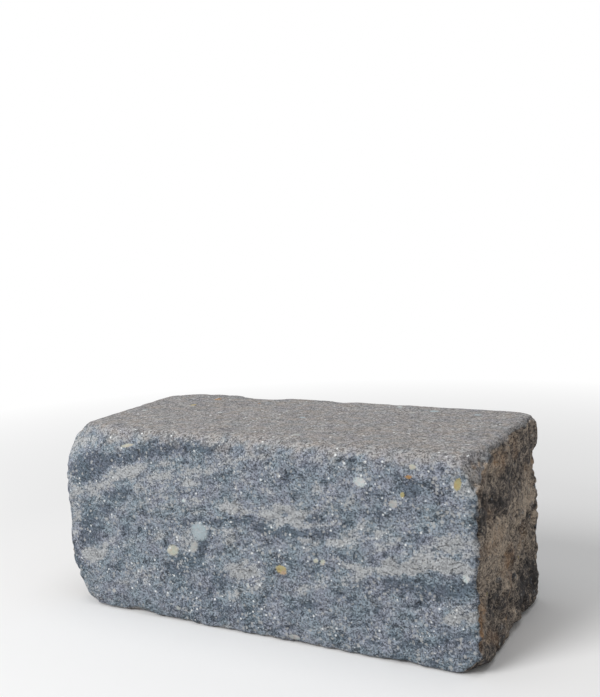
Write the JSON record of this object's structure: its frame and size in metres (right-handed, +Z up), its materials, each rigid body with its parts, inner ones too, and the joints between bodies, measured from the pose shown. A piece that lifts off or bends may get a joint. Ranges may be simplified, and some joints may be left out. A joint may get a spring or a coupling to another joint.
{
  "type": "concrete wall block",
  "caption": "Solid split-face concrete wall block with tumbled, rounded arrises and knocked corners, for dry-laid garden walls.",
  "frame": {"origin": "centre of the block's footprint, on the lower bed face that it lies on", "axes": "+X along the block's length, -Y out of the split front face, +Z up out of the upper bed face"},
  "size_m": [0.35, 0.15, 0.15],
  "materials": {
    "concrete": "rough split and tumbled concrete, slate blue-grey with paler grey and dark bands"
  },
  "bodies": {
    "root": {"wall_block": "concrete"}
  },
  "joints": []
}
